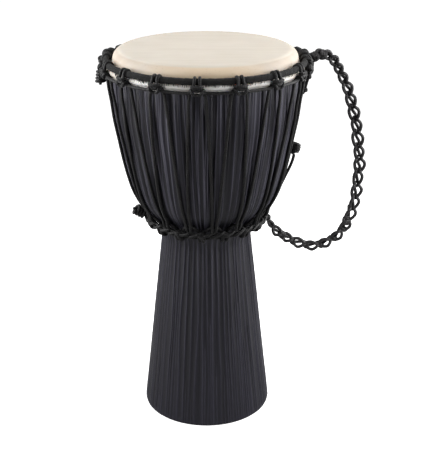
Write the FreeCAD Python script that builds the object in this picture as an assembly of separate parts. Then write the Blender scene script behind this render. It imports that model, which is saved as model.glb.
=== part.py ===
import FreeCAD, Part
import math
import os
from collections import namedtuple

# A rope-tuned goblet drum (djembe). Millimetres, +Z up, origin at the middle of the foot.
# Angles go round the drum's axis from the front, -Y, towards the right, +X.

# ---------------------------------------------------------------- driving dimensions
HEIGHT = 600.0
FOOT_RADIUS = 105.0
FOOT_WALL = 15.0
FOOT_TOP = 285.0
FOOT_TOP_RADIUS = 73.4
FOOT_TOP_WALL = 19.0
FOOT_EDGE = 2.0

SKIN = 1.2
HEAD_EDGE_RADIUS = 15.5          # outside rounding of the skin over the bearing edge
HEAD_RADIUS = 140.0              # the skin's skirt, just under the rounding
HEAD_WALL = 21.0                 # wall of the shell at the bearing edge

ROPE = 4.8
ROPE_GAP = 0.25                  # air between a rope and what it lies on
BAYS = 16                        # hitches round each ring
BAY = 360.0 / BAYS
FIRST_HITCH = -4.4               # angle of the hitch nearest the front

RING_BAR = 6.4
CROWN_RADIUS = 150.9
CROWN_Z = 582.9
CROWN_WRAPPED = 10.0             # diameter of the ring with its cloth
FLESH_BAR = 6.0
FLESH_RADIUS = 148.3
FLESH_Z = 573.8
WAIST_RADIUS = 87.0
WAIST_Z = 326.0
WAIST_WRAPPED = 9.0
WRAP_SEAM = 0.8                  # open seam of the cloth, on the inner side
RING_FIT = 0.05

# A hitch is two turns over a ring with a bar between them; a turn's corners are degrees round
# the ring's section, 0 pointing outwards, and a bar is a radius and a height.
BIGHT_HALF = 4.0                 # half the distance between a hitch's two turns
CROWN_SLACK = 0.75               # the corners stand this much further out, so that the flats clear
CROWN_TURN = (175, 135, 90, 45, 0)
CROWN_BAR = (157.6, 574.6)
WAIST_SLACK = 0.9
WAIST_TURN = (-135, -95, -50, -10)
WAIST_BAR = (94.7, 328.6)
# Loops between two hitches, from one end to the middle of a bay.
CROWN_LOOP = [(1.3, 156.2, 569.6), (3.6, 155.3, 568.3)]    # degrees past the hitch, radius, height
CROWN_LOOP_MIDDLE = (155.4, 568.0)
WAIST_LOOP = [(5.6, 340.8), (8.6, 346.5)]                  # degrees past the hitch, height on the bowl
ROW_RADIUS = 93.2                # the row woven round the waist
ROW_Z = 334.0

LACING_RADIUS = 156.2
LACING_Z = 563.4
LACING_HALF = 3.5                # degrees from the hitch to the corner of a bight of lacing
LACING_UPPER = (4.9, 150.0, 549.0)
LACING_GAP = 0.5                 # the arcs cut inside the corners, so the strands stand a little further off
LACING_LEVELS = [500.0, 466.0, 434.0, 406.0, 382.0, 366.0]
LACING_LOW = 356.0
LACING_LOW_HALF = 1.9            # degrees from the middle of a bay to a V's corner

HANDLE_DIAMETER = 17.0           # width of the chain sinnet
ARC_SHARE = 0.45                 # share of the shorter run that an arc takes up

# Outer outline of the bowl from the top of the foot to under the bearing edge: radius, height.
BOWL_OUTSIDE = [(72.1, 301.0), (82.5, 331.0), (105.5, 361.0), (121.0, 401.0),
                (132.7, 454.0), (140.6, 500.0), (143.4, 540.0), (141.6, 573.0)]
# Inner outline from the bearing edge down to the throat: radius, height.
BOWL_INSIDE = [(126.0, 565.0), (126.0, 503.0), (117.5, 454.0), (104.5, 401.0),
               (84.0, 358.0), (62.0, 325.0)]

# The handle's route, from the crown ring's tie to the waist ring's tie: x, y, z.
HANDLE_ROUTE = [(163.4, 8.0, 584.5), (175.5, 7.5, 590.0), (187.5, 7.0, 586.5),
                (198.0, 6.5, 574.5), (208.5, 6.0, 557.0), (219.5, 5.5, 532.0),
                (229.5, 5.0, 502.0), (236.5, 4.5, 468.0), (241.3, 4.0, 435.0),
                (242.5, 4.0, 405.0), (240.5, 4.0, 376.0), (237.5, 4.0, 349.0),
                (231.5, 4.5, 322.0), (218.0, 5.0, 298.0), (198.0, 5.5, 280.0),
                (175.0, 6.0, 273.5), (150.0, 6.5, 279.5), (128.0, 7.0, 289.0),
                (111.0, 7.5, 302.5), (98.0, 8.0, 320.0)]

# The stopper strand on the right of the bowl: height and distance off the bowl.
STOPPER_ANGLE = 88.5
STOPPER_RUN = [(428.0, 10.0), (414.0, 7.2), (398.0, 4.4), (374.0, 3.2), (357.0, 3.0), (345.0, 3.0)]

# Knots and coils. An axis of ALONG lies along the ring; a diameter is over the rope.
ALONG = None
Winding = namedtuple("Winding", "angle radius z axis turns diameter")
LEFT_KNOT = Winding(-89.6, 159.5, 571.5, ALONG, 2, 12.5)
LEFT_TOP_KNOT = Winding(-103.5, 157.0, 584.5, ALONG, 2, 12.0)
CROWN_COIL = Winding(-89.6, 161.0, 555.2, (0.15, 0.1, 1), 4, 14.5)
WAIST_COIL = Winding(-83.0, 107.0, 339.0, (0.9, 0.15, -0.42), 5, 14.5)
STOPPER = Winding(89.7, 140.9, 439.9, (0.3, 0.25, 1), 3, 16.0)

# The handle's two ties, at the same distance behind the drum's middle plane.
HANDLE_SIDE = 8.0
TIE_TURNS = 3
TOP_TIE_ANGLE = 90 + math.degrees(HANDLE_SIDE / CROWN_RADIUS)
TOP_TIE_ARC = (-55, 176)         # part of the ring's section that the turns cover
TOP_TIE_KNOT = Winding(TOP_TIE_ANGLE, 160.0, 570.0, ALONG, 3, 13.0)
LOW_TIE_ANGLE = 90 + math.degrees(HANDLE_SIDE / WAIST_RADIUS)
LOW_TIE_ARC = (-140, 12)
TAIL_RUN = [(0.6, 160.5, 563.0), (1.4, 159.0, 552.0), (1.2, 156.0, 541.0), (1.6, 154.0, 533.0)]
TAIL_END_KNOT = Winding(TOP_TIE_ANGLE + 1.6, 153.8, 530.0, (0.1, 0.2, 1), 2, 9.6)
TAIL_SIDE_KNOT = Winding(TOP_TIE_ANGLE + 1.2, 158.5, 551.0, (0.1, -0.2, 1), 2, 10.5)

AXIS = FreeCAD.Vector(0, 0, 1)
ORIGIN = FreeCAD.Vector(0, 0, 0)


# ---------------------------------------------------------------- helpers
def at(angle, radius, z):
    """A point at an angle round the drum, a distance from its axis, and a height."""
    turn = math.radians(angle)
    return FreeCAD.Vector(radius * math.sin(turn), -radius * math.cos(turn), z)


def tangent(angle):
    """The direction round the drum at an angle."""
    turn = math.radians(angle)
    return FreeCAD.Vector(math.cos(turn), math.sin(turn), 0)


def turned(shape, angle):
    """A copy of a shape made at the front, turned round the drum's axis."""
    copy = shape.copy()
    copy.rotate(ORIGIN, AXIS, angle)
    return copy


def half_plane(radius, z):
    """A point of an outline, drawn in the X-Z plane before it is revolved."""
    return FreeCAD.Vector(radius, 0, z)


def line(start, end):
    return Part.LineSegment(start, end).toShape()


def spline(points, first_tangent, last_tangent):
    curve = Part.BSplineCurve()
    curve.interpolate(points, InitialTangent=first_tangent, FinalTangent=last_tangent)
    return curve


def revolve(edges):
    return Part.Face(Part.Wire(edges)).revolve(ORIGIN, AXIS, 360)


def ring_arc(centre_radius, centre_z, radius, start, end):
    """An arc of a ring's section, from one angle to another in degrees, 0 pointing outwards."""
    def point(degrees):
        turn = math.radians(degrees)
        return half_plane(centre_radius + radius * math.cos(turn), centre_z + radius * math.sin(turn))
    return Part.Arc(point(start), point((start + end) / 2), point(end)).toShape()


def rounded_path(points):
    """Straight runs through the points, joined by tangent arcs. Returns the wire and the radii."""
    edges = []
    radii = []
    start = points[0]
    for before, corner, after in zip(points, points[1:], points[2:]):
        run_in = corner - before
        run_out = after - corner
        reach = ARC_SHARE * min(run_in.Length, run_out.Length)
        half_turn = run_in.getAngle(run_out) / 2
        run_in.normalize()
        run_out.normalize()
        radius = reach / math.tan(half_turn)
        inward = run_out - run_in
        inward.normalize()
        first = corner - run_in * reach
        last = corner + run_out * reach
        middle = corner + inward * (radius / math.cos(half_turn) - radius)
        edges.append(line(start, first))
        edges.append(Part.Arc(first, middle, last).toShape())
        radii.append(radius)
        start = last
    edges.append(line(start, points[-1]))
    return Part.Wire(edges), radii


def tube(path, diameter):
    """A solid round tube along a wire of tangent edges."""
    first = path.Edges[0]
    start = first.valueAt(first.FirstParameter)
    direction = first.tangentAt(first.FirstParameter)
    section = Part.Wire(Part.Circle(start, direction, diameter / 2).toShape())
    return path.makePipeShell([section], True, False)


def rope(points):
    return tube(rounded_path(points)[0], ROPE)


def barrel(winding):
    """A barrel of rope turns wound side by side, as one solid of revolution."""
    length = winding.turns * ROPE
    core = (winding.diameter - ROPE) / 2
    edges = [line(half_plane(0, 0), half_plane(core, 0))]
    for turn in range(winding.turns):
        low = turn * ROPE
        edges.append(Part.Arc(half_plane(core, low), half_plane(core + ROPE / 2, low + ROPE / 2),
                              half_plane(core, low + ROPE)).toShape())
    edges.append(line(half_plane(core, length), half_plane(0, length)))
    edges.append(line(half_plane(0, length), half_plane(0, 0)))
    solid = revolve(edges)
    solid.translate(FreeCAD.Vector(0, 0, -length / 2))
    axis = tangent(winding.angle) if winding.axis is ALONG else FreeCAD.Vector(*winding.axis)
    place = FreeCAD.Placement(at(winding.angle, winding.radius, winding.z), FreeCAD.Rotation(AXIS, axis))
    solid.Placement = place.multiply(solid.Placement)
    return solid


def export(name, *solids):
    """Write one node. Several solids in a node are repeats or lengths of the same thing."""
    shape = solids[0] if len(solids) == 1 else Part.makeCompound(list(solids))
    for solid in shape.Solids:
        if not solid.isValid() or solid.Volume <= 0:
            raise RuntimeError("bad solid in " + name)
    shape.exportStep("parts/" + name + ".step")
    box = shape.BoundBox
    print("%-22s solids %3d  volume %9.0f  x %7.1f %7.1f  y %7.1f %7.1f  z %6.1f %6.1f" % (
        name, len(shape.Solids), shape.Volume,
        box.XMin, box.XMax, box.YMin, box.YMax, box.ZMin, box.ZMax))
    return shape


# ---------------------------------------------------------------- shell and skin
EDGE_CENTRE_RADIUS = HEAD_RADIUS - HEAD_EDGE_RADIUS
EDGE_CENTRE_Z = HEIGHT - HEAD_EDGE_RADIUS
FOOT_SLOPE = FreeCAD.Vector(FOOT_TOP_RADIUS - FOOT_RADIUS, 0, FOOT_TOP)


def bowl_outline():
    """Outer outline of the bowl, leaving the foot along its slope and ending upright."""
    start = half_plane(FOOT_TOP_RADIUS, FOOT_TOP)
    end = half_plane(HEAD_RADIUS - SKIN, EDGE_CENTRE_Z)
    points = [start] + [half_plane(radius, z) for radius, z in BOWL_OUTSIDE] + [end]
    return spline(points, FOOT_SLOPE, AXIS)


OUTLINE = bowl_outline()


def shell_radius(z):
    """Outer radius of the bowl at a height."""
    level = Part.Plane(FreeCAD.Vector(0, 0, z), AXIS)
    return OUTLINE.intersect(level)[0][0].X


def on_bowl(angle, z, lift):
    """A point a distance off the bowl's surface, square to it, near a height."""
    step = 0.5
    rise = shell_radius(z + step) - shell_radius(z - step)
    across = math.hypot(rise, 2 * step)
    return at(angle, shell_radius(z) + lift * 2 * step / across, z - lift * rise / across)


def shell():
    top = HEIGHT - SKIN
    inner_top = HEAD_RADIUS - SKIN - HEAD_WALL
    corner = HEAD_EDGE_RADIUS - SKIN
    slope = FOOT_SLOPE * (FOOT_EDGE / FOOT_SLOPE.Length)
    rim = half_plane(FOOT_RADIUS, 0) + slope
    throat = half_plane(FOOT_TOP_RADIUS - FOOT_TOP_WALL, FOOT_TOP)
    inner = [half_plane(inner_top, top)] + [half_plane(radius, z) for radius, z in BOWL_INSIDE] + [throat]
    return revolve([
        line(half_plane(FOOT_RADIUS - FOOT_WALL, 0), half_plane(FOOT_RADIUS - FOOT_EDGE, 0)),
        line(half_plane(FOOT_RADIUS - FOOT_EDGE, 0), rim),
        line(rim, half_plane(FOOT_TOP_RADIUS, FOOT_TOP)),
        OUTLINE.toShape(),
        ring_arc(EDGE_CENTRE_RADIUS, EDGE_CENTRE_Z, corner, 0, 90),
        line(half_plane(EDGE_CENTRE_RADIUS, top), half_plane(inner_top, top)),
        spline(inner, FreeCAD.Vector(0.3, 0, -1), FreeCAD.Vector(0, 0, -1)).toShape(),
        line(throat, half_plane(FOOT_RADIUS - FOOT_WALL, 0)),
    ])


def goat_skin_head():
    """The skin: a flat head, the skirt, and the fold that runs round the flesh ring."""
    inner_edge = HEAD_EDGE_RADIUS - SKIN
    bar = FLESH_BAR / 2
    fold = bar + SKIN
    fold_end = 460.0                  # the fold stops behind the crown ring
    skirt_outside = half_plane(HEAD_RADIUS, EDGE_CENTRE_Z)
    skirt_inside = half_plane(HEAD_RADIUS - SKIN, EDGE_CENTRE_Z)
    fold_inside = half_plane(FLESH_RADIUS - fold, FLESH_Z)
    fold_outside = half_plane(FLESH_RADIUS - bar, FLESH_Z)
    end = math.radians(fold_end)
    end_inside = half_plane(FLESH_RADIUS + bar * math.cos(end), FLESH_Z + bar * math.sin(end))
    end_outside = half_plane(FLESH_RADIUS + fold * math.cos(end), FLESH_Z + fold * math.sin(end))
    return revolve([
        line(half_plane(0, HEIGHT - SKIN), half_plane(EDGE_CENTRE_RADIUS, HEIGHT - SKIN)),
        ring_arc(EDGE_CENTRE_RADIUS, EDGE_CENTRE_Z, inner_edge, 90, 0),
        line(skirt_inside, fold_inside),
        ring_arc(FLESH_RADIUS, FLESH_Z, fold, 180, fold_end),
        line(end_outside, end_inside),
        ring_arc(FLESH_RADIUS, FLESH_Z, bar, fold_end, 180),
        line(fold_outside, skirt_outside),
        ring_arc(EDGE_CENTRE_RADIUS, EDGE_CENTRE_Z, HEAD_EDGE_RADIUS, 0, 90),
        line(half_plane(EDGE_CENTRE_RADIUS, HEIGHT), half_plane(0, HEIGHT)),
        line(half_plane(0, HEIGHT), half_plane(0, HEIGHT - SKIN)),
    ])


# ---------------------------------------------------------------- rings
def ring(radius, z, bar):
    return Part.makeTorus(radius, bar / 2, FreeCAD.Vector(0, 0, z), AXIS)


def ring_wrap(radius, z, wrapped):
    """The cloth bound round a ring, with its seam on the side of the shell."""
    inner = RING_BAR / 2 + RING_FIT
    outer = wrapped / 2
    seam = math.degrees(WRAP_SEAM / outer)
    start = -180 + seam / 2
    end = 180 - seam / 2

    def corner(size, degrees):
        turn = math.radians(degrees)
        return half_plane(radius + size * math.cos(turn), z + size * math.sin(turn))
    return revolve([
        ring_arc(radius, z, outer, start, end),
        line(corner(outer, end), corner(inner, end)),
        ring_arc(radius, z, inner, end, start),
        line(corner(inner, start), corner(outer, start)),
    ])


# ---------------------------------------------------------------- hitches and loops
def bight(radius, z, reach, turn, bar):
    """One hitch: two turns over a ring, joined by a bar on the outside."""
    def turn_points(side):
        for degrees in turn:
            angle = math.radians(degrees)
            yield FreeCAD.Vector(side * BIGHT_HALF, -(radius + reach * math.cos(angle)),
                                 z + reach * math.sin(angle))
        yield FreeCAD.Vector(side * BIGHT_HALF, -bar[0], bar[1])
    left = list(turn_points(-1))
    right = list(turn_points(1))
    return rope(left + right[::-1])


def crown_bight():
    reach = (CROWN_WRAPPED + ROPE) / 2 + CROWN_SLACK
    return bight(CROWN_RADIUS, CROWN_Z, reach, CROWN_TURN, CROWN_BAR)


def waist_bight():
    reach = (WAIST_WRAPPED + ROPE) / 2 + WAIST_SLACK
    return bight(WAIST_RADIUS, WAIST_Z, reach, WAIST_TURN, WAIST_BAR)


def crown_loop():
    """The flat loop under the flesh ring, from one hitch to the next."""
    half = [at(angle, radius, z) for angle, radius, z in CROWN_LOOP]
    other = [at(BAY - angle, radius, z) for angle, radius, z in CROWN_LOOP[::-1]]
    return rope(half + [at(BAY / 2, *CROWN_LOOP_MIDDLE)] + other)


def waist_loop():
    """The loop that stands up from the waist ring between two hitches."""
    lift = ROPE / 2 + ROPE_GAP
    half = [on_bowl(angle, z, lift) for angle, z in WAIST_LOOP]
    other = [on_bowl(BAY - angle, z, lift) for angle, z in WAIST_LOOP[::-1]]
    return rope(half + other)


# ---------------------------------------------------------------- lacing
def lacing_strand():
    """Half a V: from the middle of a hitch down to the V's corner."""
    lift = ROPE / 2 + LACING_GAP
    angle_low = BAY / 2 - LACING_LOW_HALF
    corner = at(LACING_HALF, LACING_RADIUS, LACING_Z)
    points = [FreeCAD.Vector(0, corner.y, LACING_Z), corner, at(*LACING_UPPER)]
    for z in LACING_LEVELS:
        share = (LACING_UPPER[2] - z) / (LACING_UPPER[2] - LACING_LOW)
        angle = LACING_UPPER[0] + share * (angle_low - LACING_UPPER[0])
        points.append(on_bowl(angle, z, lift))
    points.append(on_bowl(angle_low, LACING_LOW, lift))
    return points


def lacing_v():
    """One length of the lacing, from one hitch's middle down to the waist and up to the next."""
    left = lacing_strand()
    bay = math.radians(BAY / 2)
    mirror_normal = FreeCAD.Vector(math.cos(bay), math.sin(bay), 0)
    right = [point - mirror_normal * (2 * point.dot(mirror_normal)) for point in left]
    return rope(left + right[::-1])


def waist_row_rope():
    return ring(ROW_RADIUS, ROW_Z, ROPE)


# ---------------------------------------------------------------- knots, coils and ties
def ring_turns(angle, radius, z, wrapped, arc):
    """A tie's turns side by side round a wrapped ring; each covers part of its section."""
    reach = (wrapped + ROPE) / 2 + ROPE_GAP
    start, end = arc
    solids = []
    for index in range(TIE_TURNS):
        offset = (index - (TIE_TURNS - 1) / 2) * (ROPE + ROPE_GAP)
        turn = Part.makeTorus(reach, ROPE / 2, ORIGIN, AXIS, -180, 180, end - start)
        turn.rotate(ORIGIN, AXIS, start)
        turn.rotate(ORIGIN, FreeCAD.Vector(1, 0, 0), 90)
        turn.translate(FreeCAD.Vector(radius, 0, z))
        solids.append(turned(turn, angle - 90 + math.degrees(offset / radius)))
    return solids


def cut_clear(solid, neighbours):
    """Press a knot against what it is tied to: what the neighbours fill is taken out of it."""
    for neighbour in neighbours:
        if solid.BoundBox.intersect(neighbour.BoundBox):
            solid = solid.cut(neighbour)
    return max(solid.Solids, key=lambda piece: piece.Volume)


def stopper_strand():
    return rope([on_bowl(STOPPER_ANGLE, z, lift) for z, lift in STOPPER_RUN])


def handle_top_tie(neighbours):
    turns = ring_turns(TOP_TIE_ANGLE, CROWN_RADIUS, CROWN_Z, CROWN_WRAPPED, TOP_TIE_ARC)
    return turns + [cut_clear(barrel(TOP_TIE_KNOT), neighbours + turns)]


def handle_tie_tails(neighbours):
    tail = rope([at(TOP_TIE_ANGLE + angle, radius, z) for angle, radius, z in TAIL_RUN])
    knots = [cut_clear(barrel(knot), neighbours) for knot in (TAIL_END_KNOT, TAIL_SIDE_KNOT)]
    return [cut_clear(tail, knots + neighbours)] + knots


def handle_bottom_tie():
    return ring_turns(LOW_TIE_ANGLE, WAIST_RADIUS, WAIST_Z, WAIST_WRAPPED, LOW_TIE_ARC)


def handle_neck(end, straight):
    """The narrow end of the handle, as long as the route's straight there: a ball and a cone."""
    along = straight.CenterOfMass - end
    along.normalize()
    cone = Part.makeCone(ROPE / 2, HANDLE_DIAMETER / 2, straight.Length, end, along)
    return [Part.makeSphere(ROPE / 2, end), cone]


def handle():
    """The chain sinnet as one round tube that narrows to a ball at each of its two ends."""
    points = [FreeCAD.Vector(*point) for point in HANDLE_ROUTE]
    path, radii = rounded_path(points)
    middle = Part.Wire(path.Edges[1:-1])
    body = tube(middle, HANDLE_DIAMETER)
    expected = math.pi * (HANDLE_DIAMETER / 2) ** 2 * middle.Length
    print("handle radii, mm: " + ", ".join("%.0f" % radius for radius in radii))
    print("handle length %.1f, of it the tube %.1f; tube volume %.0f, section times length %.0f" % (
        path.Length, middle.Length, body.Volume, expected))
    for neck in handle_neck(points[0], path.Edges[0]) + handle_neck(points[-1], path.Edges[-1]):
        body = body.fuse(neck)
    return body.removeSplitter()


# ---------------------------------------------------------------- the drum
def main():
    os.makedirs("parts", exist_ok=True)
    hitches = [FIRST_HITCH + BAY * index for index in range(BAYS)]

    export("shell", shell())
    skin = export("goat_skin_head", goat_skin_head())
    export("flesh_ring", ring(FLESH_RADIUS, FLESH_Z, FLESH_BAR - 2 * RING_FIT))
    export("crown_ring", ring(CROWN_RADIUS, CROWN_Z, RING_BAR))
    crown_wrap = export("crown_ring_wrap", ring_wrap(CROWN_RADIUS, CROWN_Z, CROWN_WRAPPED))
    export("bottom_ring", ring(WAIST_RADIUS, WAIST_Z, RING_BAR))
    waist_wrap = export("bottom_ring_wrap", ring_wrap(WAIST_RADIUS, WAIST_Z, WAIST_WRAPPED))

    crown_rope = [turned(piece, angle) for angle in hitches for piece in (crown_bight(), crown_loop())]
    waist_rope = [turned(piece, angle) for angle in hitches for piece in (waist_bight(), waist_loop())]
    lacing = [turned(lacing_v(), angle) for angle in hitches]
    export("crown_cradle_rope", *crown_rope)
    export("bottom_cradle_rope", *waist_rope)
    export("lacing_rope", *lacing)
    row = export("waist_row_rope", waist_row_rope())

    crown_things = crown_rope + lacing + [crown_wrap, skin]
    waist_things = waist_rope + lacing + [row, waist_wrap]
    knots = [cut_clear(barrel(knot), crown_things) for knot in (LEFT_KNOT, LEFT_TOP_KNOT)]
    export("crown_rope_knots", *knots)
    export("crown_rope_coil", cut_clear(barrel(CROWN_COIL), crown_things + knots))
    export("waist_rope_coil", cut_clear(barrel(WAIST_COIL), waist_things))
    strand = export("stopper_strand", stopper_strand())
    export("stopper_knot", cut_clear(barrel(STOPPER), lacing + [strand]))

    top_tie = handle_top_tie(crown_things)
    export("handle_top_tie", *top_tie)
    export("handle_tie_tails", *handle_tie_tails(crown_things + top_tie))
    export("handle_bottom_tie", *handle_bottom_tie())
    export("handle", handle())


main()
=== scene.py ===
import math

import bpy
import numpy as np
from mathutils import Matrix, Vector


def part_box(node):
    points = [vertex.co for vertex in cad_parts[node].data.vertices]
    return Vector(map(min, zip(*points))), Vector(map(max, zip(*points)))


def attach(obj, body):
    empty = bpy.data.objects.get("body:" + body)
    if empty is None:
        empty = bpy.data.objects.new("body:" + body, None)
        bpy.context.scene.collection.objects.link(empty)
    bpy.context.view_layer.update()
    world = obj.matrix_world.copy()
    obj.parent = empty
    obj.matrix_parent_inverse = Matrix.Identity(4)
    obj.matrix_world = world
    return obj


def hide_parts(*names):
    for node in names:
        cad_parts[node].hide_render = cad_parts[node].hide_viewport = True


# A rope-tuned goblet drum, built round the CAD frame. Lengths here are in millimetres and become
# metres when a mesh is made. Angles go round the drum's axis from the front, -Y, towards +X.

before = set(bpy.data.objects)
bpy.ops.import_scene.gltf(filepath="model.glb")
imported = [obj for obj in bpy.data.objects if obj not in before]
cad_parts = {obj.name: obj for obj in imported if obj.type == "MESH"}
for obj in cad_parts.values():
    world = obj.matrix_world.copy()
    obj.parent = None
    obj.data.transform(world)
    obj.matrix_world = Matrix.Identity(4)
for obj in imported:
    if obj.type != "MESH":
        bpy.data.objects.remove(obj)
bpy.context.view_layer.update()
MM = 0.001


# ---- the camera
CAMERA_PLACE = (0.0, -1.5334, 0.9153)
CAMERA_DIP = 0.3752  # radians below the horizon
CAMERA_YAW = -0.0118  # radians to the right of the drum's axis
CAMERA_LENS = 81.63


def make_camera():
    """The camera: in front of the drum and above it, looking down."""
    data = bpy.data.cameras.new("camera")
    data.lens = CAMERA_LENS
    data.sensor_fit = "VERTICAL"
    data.sensor_height = 36
    data.clip_start = 0.05
    data.clip_end = 30
    camera = bpy.data.objects.new("camera", data)
    camera.location = CAMERA_PLACE
    camera.rotation_euler = (math.pi / 2 - CAMERA_DIP, 0, CAMERA_YAW)
    bpy.context.collection.objects.link(camera)
    bpy.context.scene.camera = camera


make_camera()


# ---- sizes from the frame
def ring_size(node):
    """Radius, height and thickness of a ring, from its box."""
    low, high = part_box(node)
    bar = (high.z - low.z) / MM
    return high.x / MM - bar / 2, (high.z + low.z) / MM / 2, bar


CROWN = ring_size("crown_ring_wrap")
FLESH = ring_size("flesh_ring")
WAIST = ring_size("bottom_ring_wrap")
ROW = ring_size("waist_row_rope")
ROPE = ROW[2]
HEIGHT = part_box("goat_skin_head")[1].z / MM

BAYS = 16
BAY = 360 / BAYS
FIRST_HITCH = -4.4
HITCHES = [FIRST_HITCH + BAY * index for index in range(BAYS)]
HANDLE_SIDE = 8.0  # distance of the handle's two ties behind the middle plane
TOP_TIE_ANGLE = 90 + math.degrees(HANDLE_SIDE / CROWN[0])
LOW_TIE_ANGLE = 90 + math.degrees(HANDLE_SIDE / WAIST[0])


def cad_outline(node, levels, start, way):
    """Radius of a round CAD node at each height, looking from a radius inwards (1) or outwards (-1)."""
    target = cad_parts[node]
    radii = []
    for z in levels:
        found, place, _, _ = target.ray_cast(Vector((0, -start, z)) * MM, Vector((0, way, 0)))
        radii.append(-place.y / MM if found else np.nan)
    return np.array(radii)


LEVELS = np.arange(0.5, 598.0, 2.5)
OUTSIDE = cad_outline("shell", LEVELS, 400, 1)
INSIDE = cad_outline("shell", LEVELS, 0.01, -1)


# ---- points and paths
def at(angle, radius, z):
    """A point at an angle round the drum, a distance from its axis, and a height."""
    turn = math.radians(angle)
    return np.array([radius * math.sin(turn), -radius * math.cos(turn), z])


def on_bowl(angle, z, lift):
    """A point a distance off the bowl's surface, square to it, near a height."""
    step = 3.0
    rise = np.interp(z + step, LEVELS, OUTSIDE) - np.interp(z - step, LEVELS, OUTSIDE)
    across = math.hypot(rise, 2 * step)
    radius = np.interp(z, LEVELS, OUTSIDE)
    return at(angle, radius + lift * 2 * step / across, z - lift * rise / across)


def round_ring(ring, angle, along, reach, degrees):
    """A point by a ring: along it from an angle, and reach from its middle, at degrees of its section."""
    turn = math.radians(degrees)
    radius = ring[0] + reach * math.cos(turn)
    return at(angle + math.degrees(along / ring[0]), radius, ring[1] + reach * math.sin(turn))


def resample(line, step, closed=False):
    """Points at even steps along a line of many points."""
    if closed:
        line = np.vstack([line, line[:1]])
    lengths = np.concatenate([[0], np.cumsum(np.linalg.norm(np.diff(line, axis=0), axis=1))])
    count = max(4, int(round(lengths[-1] / step)))
    places = np.linspace(0, lengths[-1], count + 1)
    if closed:
        places = places[:-1]
    return np.stack([np.interp(places, lengths, line[:, axis]) for axis in range(3)], axis=1)


def curve_through(points, step, closed=False):
    """A smooth curve through the points (centripetal Catmull-Rom), at even steps."""
    points = np.asarray(points, float)
    if closed:
        run = np.vstack([points[-1:], points, points[:2]])
    else:
        run = np.vstack([2 * points[0] - points[1], points, 2 * points[-1] - points[-2]])
    line = []
    for a, b, c, d in zip(run, run[1:], run[2:], run[3:]):
        knots = [0.0]
        for first, second in ((a, b), (b, c), (c, d)):
            knots.append(knots[-1] + max(1e-6, np.linalg.norm(second - first)) ** 0.5)
        t0, t1, t2, t3 = knots
        t = np.linspace(t1, t2, 14, endpoint=False)[:, None]
        ab = ((t1 - t) * a + (t - t0) * b) / (t1 - t0)
        bc = ((t2 - t) * b + (t - t1) * c) / (t2 - t1)
        cd = ((t3 - t) * c + (t - t2) * d) / (t3 - t2)
        abc = ((t2 - t) * ab + (t - t0) * bc) / (t2 - t0)
        bcd = ((t3 - t) * bc + (t - t1) * cd) / (t3 - t1)
        line.append(((t2 - t) * abc + (t - t1) * bcd) / (t2 - t1))
    line = np.vstack(line)
    if not closed:
        line = np.vstack([line, points[-1:]])
    return resample(line, step, closed)


def unit(vectors):
    """The vectors at a length of 1."""
    return vectors / np.maximum(np.linalg.norm(vectors, axis=-1, keepdims=True), 1e-9)


def frames(line, closed=False, first_normal=None):
    """Tangents, normals and side vectors along a line, with as little twist as possible."""
    if closed:
        tangents = unit(np.roll(line, -1, axis=0) - np.roll(line, 1, axis=0))
    else:
        tangents = unit(np.gradient(line, axis=0))
    normal = np.array([0.0, 0.0, 1.0]) if first_normal is None else np.asarray(first_normal, float)
    if abs(normal @ tangents[0]) > 0.9:
        normal = np.array([1.0, 0.0, 0.0])
    normals = []
    for tangent in tangents:
        normal = unit(normal - tangent * (normal @ tangent))
        normals.append(normal)
    normals = np.array(normals)
    return tangents, normals, np.cross(tangents, normals)


# ---- meshes
def grid(rows, lines, columns, step, corners=((0, 0), (0, 1), (1, 1), (1, 0))):
    """Faces and face UVs for rows of quads over lines of points, each line closed on itself.

    u is the share of the way round a line, and v grows by step from one row to the next."""
    row, column = np.meshgrid(np.arange(rows), np.arange(columns), indexing="ij")
    faces = [(row + down) % lines * columns + (column + along) % columns for down, along in corners]
    u = [(column + along) / columns for _, along in corners]
    v = [(row + down) * step for down, _ in corners]
    uvs = np.stack([np.stack(u, axis=-1), np.stack(v, axis=-1)], axis=-1)
    return np.stack(faces, axis=-1).reshape(-1, 4).tolist(), uvs.reshape(-1, 2)


END_SHARE = 0.72  # radius of a tube's last ring of points, as a share of the rest


def tube(line, radius, sides, closed=False):
    """Vertices, faces and face UVs of a round tube along a line, with rounded ends if it is open."""
    _, normals, side = frames(line, closed)
    count = len(line)
    radii = np.full(count, radius)
    if not closed:
        radii[[0, -1]] *= END_SHARE
    turns = 2 * np.pi * np.arange(sides) / sides
    ring = np.cos(turns)[None, :, None] * normals[:, None] + np.sin(turns)[None, :, None] * side[:, None]
    vertices = (line[:, None] + ring * radii[:, None, None]).reshape(-1, 3)
    step = np.linalg.norm(line[1] - line[0]) / (2 * np.pi * radius)
    faces, uvs = grid(count if closed else count - 1, count, sides, step)
    if not closed:
        faces.append(list(range(sides))[::-1])
        faces.append(list(range((count - 1) * sides, count * sides)))
        uvs = np.vstack([uvs, np.zeros((2 * sides, 2))])
    return vertices, faces, uvs


def mesh_object(name, parts, kind, nodes=(), body="drum"):
    """One object from several (vertices, faces, uvs) parts, riding on a body in place of CAD nodes."""
    vertices, faces, uvs, start = [], [], [], 0
    for part_vertices, part_faces, part_uvs in parts:
        vertices.append(part_vertices)
        faces.extend([[index + start for index in face] for face in part_faces])
        uvs.append(part_uvs)
        start += len(part_vertices)
    mesh = bpy.data.meshes.new(name)
    mesh.from_pydata((np.vstack(vertices) * MM).tolist(), [], faces)
    layer = mesh.uv_layers.new(name="along")
    layer.data.foreach_set("uv", np.vstack(uvs).ravel())
    mesh.polygons.foreach_set("use_smooth", [True] * len(mesh.polygons))
    mesh.materials.append(MATERIALS[kind])
    mesh.update()
    piece = bpy.data.objects.new(name, mesh)
    bpy.context.collection.objects.link(piece)
    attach(piece, body)
    if nodes:
        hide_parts(*nodes)
    return piece


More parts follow.
